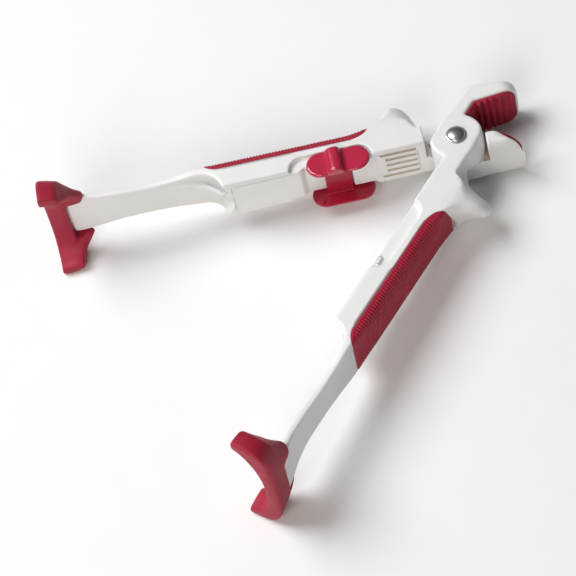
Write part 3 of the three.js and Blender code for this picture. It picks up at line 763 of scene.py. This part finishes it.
WHITE = mould_material("white_shell", (0.79, 0.79, 0.785), (0.82, 0.82, 0.815), (0.34, 0.44), 2600, 0.00006)
SOFT_RED = mould_material(
    "soft_red", (0.34, 0.012, 0.036), (0.38, 0.016, 0.044), (0.46, 0.58), 3600, 0.00008, gloss=0.3
)
LATCH_RED = mould_material(
    "latch_red", (0.46, 0.016, 0.054), (0.50, 0.020, 0.062), (0.07, 0.13), 2600, 0.00002, gloss=0.85
)
# The latch red made darker and less glossy, to paint the shade that the finger plate lies in under the
# handle; both plates are the same red.
LATCH_PAINTED_SHADE = mould_material(
    "latch_red_painted_shade", (0.36, 0.010, 0.032), (0.40, 0.012, 0.038), (0.22, 0.30), 2600, 0.00004, gloss=0.35
)
POLISHED = steel_material("polished_steel", 0.54, (0.30, 0.36), (1, 1, 1))
PLAIN_STEEL = steel_material("plain_steel", 0.55, (0.28, 0.42), (1, 1, 6))
# Painted shade: a darker, warmer white for the faces of the cover's grooves and the lap slit's floor, where
# shade falls.
PAINTED_SHADE = mould_material(
    "painted_recess_shade", (0.52, 0.45, 0.36), (0.58, 0.51, 0.41), (0.5, 0.6), 2600, 0.00004, gloss=0.2
)
NYLON = mould_material("nylon", (0.72, 0.68, 0.58), (0.78, 0.74, 0.64), (0.45, 0.55), 3000, 0.00004)


def dress(piece, body, material, slot, *nodes):
    """Gives a piece its material and its place in the model."""
    piece.data.materials.clear()
    piece.data.materials.append(material)
    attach(piece, body)
    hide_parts(*nodes)


def shade_inside(piece, arm, low, high):
    """Faces inside a box get a darker, warmer colour that paints the shade of the recesses."""
    piece.data.materials.append(PAINTED_SHADE)
    faces = piece.data.polygons
    centres = np.empty(3 * len(faces))
    faces.foreach_get("center", centres)
    places = (centres.reshape(-1, 3) - np.array(PIVOT)) @ ARM_AXES[arm].T / MM
    inside = np.all((places > low) & (places < high), axis=1)
    faces.foreach_set("material_index", inside.astype(np.int32))


# ---------------------------------------------------------------- the object

# Every piece is drawn in a box of low and high corners, mm, on cells of the size given after them.
FRAME_FIELDS = {"arm_a": first_frame, "arm_b": second_frame}
PAD_FIELDS = {
    "arm_a": (wedge_pad_field, (17, -12.5, -16.5), (39, 1.5, 16.5)),
    "arm_b": (bent_pad_field, (17, -4.5, -16.5), (49, 18, 16.5)),
}

for arm in ("arm_a", "arm_b"):
    shell = moulded(
        f"{arm}_shell", arm, FRAME_FIELDS[arm], (-247, -14.5, -24.5), (54, 39.5, 18), (0.6, 0.5, 0.6), 0.05
    )
    dress(shell, arm, WHITE, "white_shell", f"{arm}_frame")
    if arm == "arm_a":
        # Painted shade on the floor of the narrow slit between the lap joint and the jaw.
        shade_inside(shell, arm, (13.2, -11.2, -LAP_GAP - 0.3), (17.6, -0.6, 1.5))

    cover_of_arm = cover_field(with_channel=arm == "arm_a")
    cover = moulded(
        f"{arm}_cover", arm, cover_of_arm, (-139, -0.6, -13), (-23, 10.5, 13), (0.5, 0.3, 0.35), 0.1
    )
    dress(cover, arm, WHITE, "white_shell", f"{arm}_inner_cover")
    # Painted shade in the cover's grooves.
    shade_inside(cover, arm, (min(GROOVE_STARTS), INNER_EDGE + 0.3, -11.8), (-24.8, GROOVE_FLOOR + 0.2, 11.8))

    grip = moulded(
        f"{arm}_ribbed_grip", arm, grip_field, (-153.5, 12.5, -17.2), (-45, 22.8, 17.2), (0.32, 0.4, 0.5)
    )
    dress(grip, arm, SOFT_RED, "soft_red", f"{arm}_grip")

    spreader_box = (-253, -1.0, -42.5), (-217, 26.5, 42.5)
    spreader = moulded(
        f"{arm}_sock_spreader", arm, spreader_field, *spreader_box, (0.6, 0.6, 0.6), 0.05
    )
    dress(spreader, arm, SOFT_RED, "soft_red", f"{arm}_spreader")

    pad_field, pad_low, pad_high = PAD_FIELDS[arm]
    pad = moulded(f"{arm}_grip_pad", arm, pad_field, pad_low, pad_high, (0.35, 0.35, 0.5))
    dress(pad, arm, SOFT_RED, "soft_red", f"{arm}_jaw_pad")

thumb_plate = moulded(
    "latch_thumb_plate", "arm_a", latch_front_field, (-93, -10, 12.6), (-51, 10, 22), (0.35, 0.35, 0.3)
)
dress(thumb_plate, "latch", LATCH_RED, "latch_red", "latch_front_plate")
finger_plate = moulded(
    "latch_finger_plate", "arm_a", latch_back_field, (-93, -10, -18.5), (-51, 10, 16), (0.35, 0.35, 0.35)
)
# The finger plate gets the latch red darkened with painted shade.
dress(finger_plate, "latch", LATCH_PAINTED_SHADE, "latch_red", "latch_back_plate")

rivet = turned("rivet_domed", "arm_a", rivet_profile())
dress(rivet, "arm_a", POLISHED, "polished_steel", "pivot_rivet")

# The CAD's own solids that stay visible, with their materials.
KEPT = {
    "torsion_spring": PLAIN_STEEL,
    "rear_washer": PLAIN_STEEL,
    "latch_screw": PLAIN_STEEL,
    "friction_washer": NYLON,
}
for arm in ("arm_a", "arm_b"):
    for end in ("front", "rear"):
        KEPT[f"{arm}_cover_screw_{end}"] = PLAIN_STEEL
for name, material in KEPT.items():
    node = frame["nodes"][name]
    node.data.materials.clear()
    node.data.materials.append(material)

# ---------------------------------------------------------------- floor, light and camera


def floor():
    """A plain pale floor; half is half of its side in metres."""
    half = 4.0
    corners = np.array([(-half, -half, 0), (half, -half, 0), (half, half, 0), (-half, half, 0)])
    made = mesh_object("floor", corners, [[0, 1, 2, 3]])
    pale = mould_material("floor", (0.86, 0.86, 0.86), (0.87, 0.87, 0.87), (0.8, 0.9), 300, 0.00002)
    made.data.materials.append(pale)


def soft_light(name, place, size, power, colour):
    """A round lamp at a place, in metres, that faces the origin."""
    lamp = bpy.data.lights.new(name, "AREA")
    lamp.shape = "DISK"
    lamp.size = size
    lamp.energy = power
    lamp.color = colour
    made = bpy.data.objects.new(name, lamp)
    made.location = place
    made.rotation_euler = (-Vector(place)).to_track_quat("-Z", "Y").to_euler()
    bpy.context.scene.collection.objects.link(made)


def sky(darkest, brightest, towards):
    """A soft studio sky that brightens smoothly towards one direction."""
    world = bpy.data.worlds.new("studio")
    world.use_nodes = True
    tree = world.node_tree
    place = tree.nodes.new("ShaderNodeTexCoord").outputs["Generated"]
    facing = tree.nodes.new("ShaderNodeVectorMath")
    facing.operation = "DOT_PRODUCT"
    facing.inputs[1].default_value = Vector(towards).normalized()
    spread = tree.nodes.new("ShaderNodeMapRange")
    spread.interpolation_type = "SMOOTHSTEP"
    spread.inputs["From Min"].default_value = -0.4
    spread.inputs["From Max"].default_value = 0.9
    spread.inputs["To Min"].default_value = darkest
    spread.inputs["To Max"].default_value = brightest
    tree.links.new(place, facing.inputs[0])
    tree.links.new(facing.outputs["Value"], spread.inputs["Value"])
    tree.links.new(spread.outputs["Result"], tree.nodes["Background"].inputs["Strength"])
    bpy.context.scene.world = world


def camera(aim, distance, azimuth, elevation, roll, lens):
    """A camera that looks at aim from that azimuth and elevation, rolled about its own axis."""
    back = Vector((
        math.sin(azimuth) * math.cos(elevation),
        -math.cos(azimuth) * math.cos(elevation),
        math.sin(elevation),
    ))
    level = back.to_track_quat("Z", "Y")
    made = bpy.data.objects.new("camera", bpy.data.cameras.new("camera"))
    made.data.lens = lens
    made.data.sensor_width = 36
    made.data.clip_end = 20
    made.location = Vector(aim) + back * distance
    made.rotation_euler = (level @ Matrix.Rotation(roll, 3, "Z").to_quaternion()).to_euler()
    bpy.context.scene.collection.objects.link(made)
    bpy.context.scene.camera = made


floor()
sky(0.70, 2.85, (-0.5, 0.25, 1.0))
soft_light("key", (-0.7, 1.1, 1.9), 1.6, 50, (0.98, 0.99, 1.0))
soft_light("fill", (-1.4, -1.2, 1.5), 1.4, 24, (1.0, 0.94, 0.88))
camera(
    aim=(-0.0427, -0.0081, 0.020),
    distance=1.7378,
    azimuth=math.radians(-14.17),
    elevation=math.radians(58.10),
    roll=math.radians(-23.63),
    lens=183.2,
)
bpy.context.scene.view_settings.view_transform = "Standard"
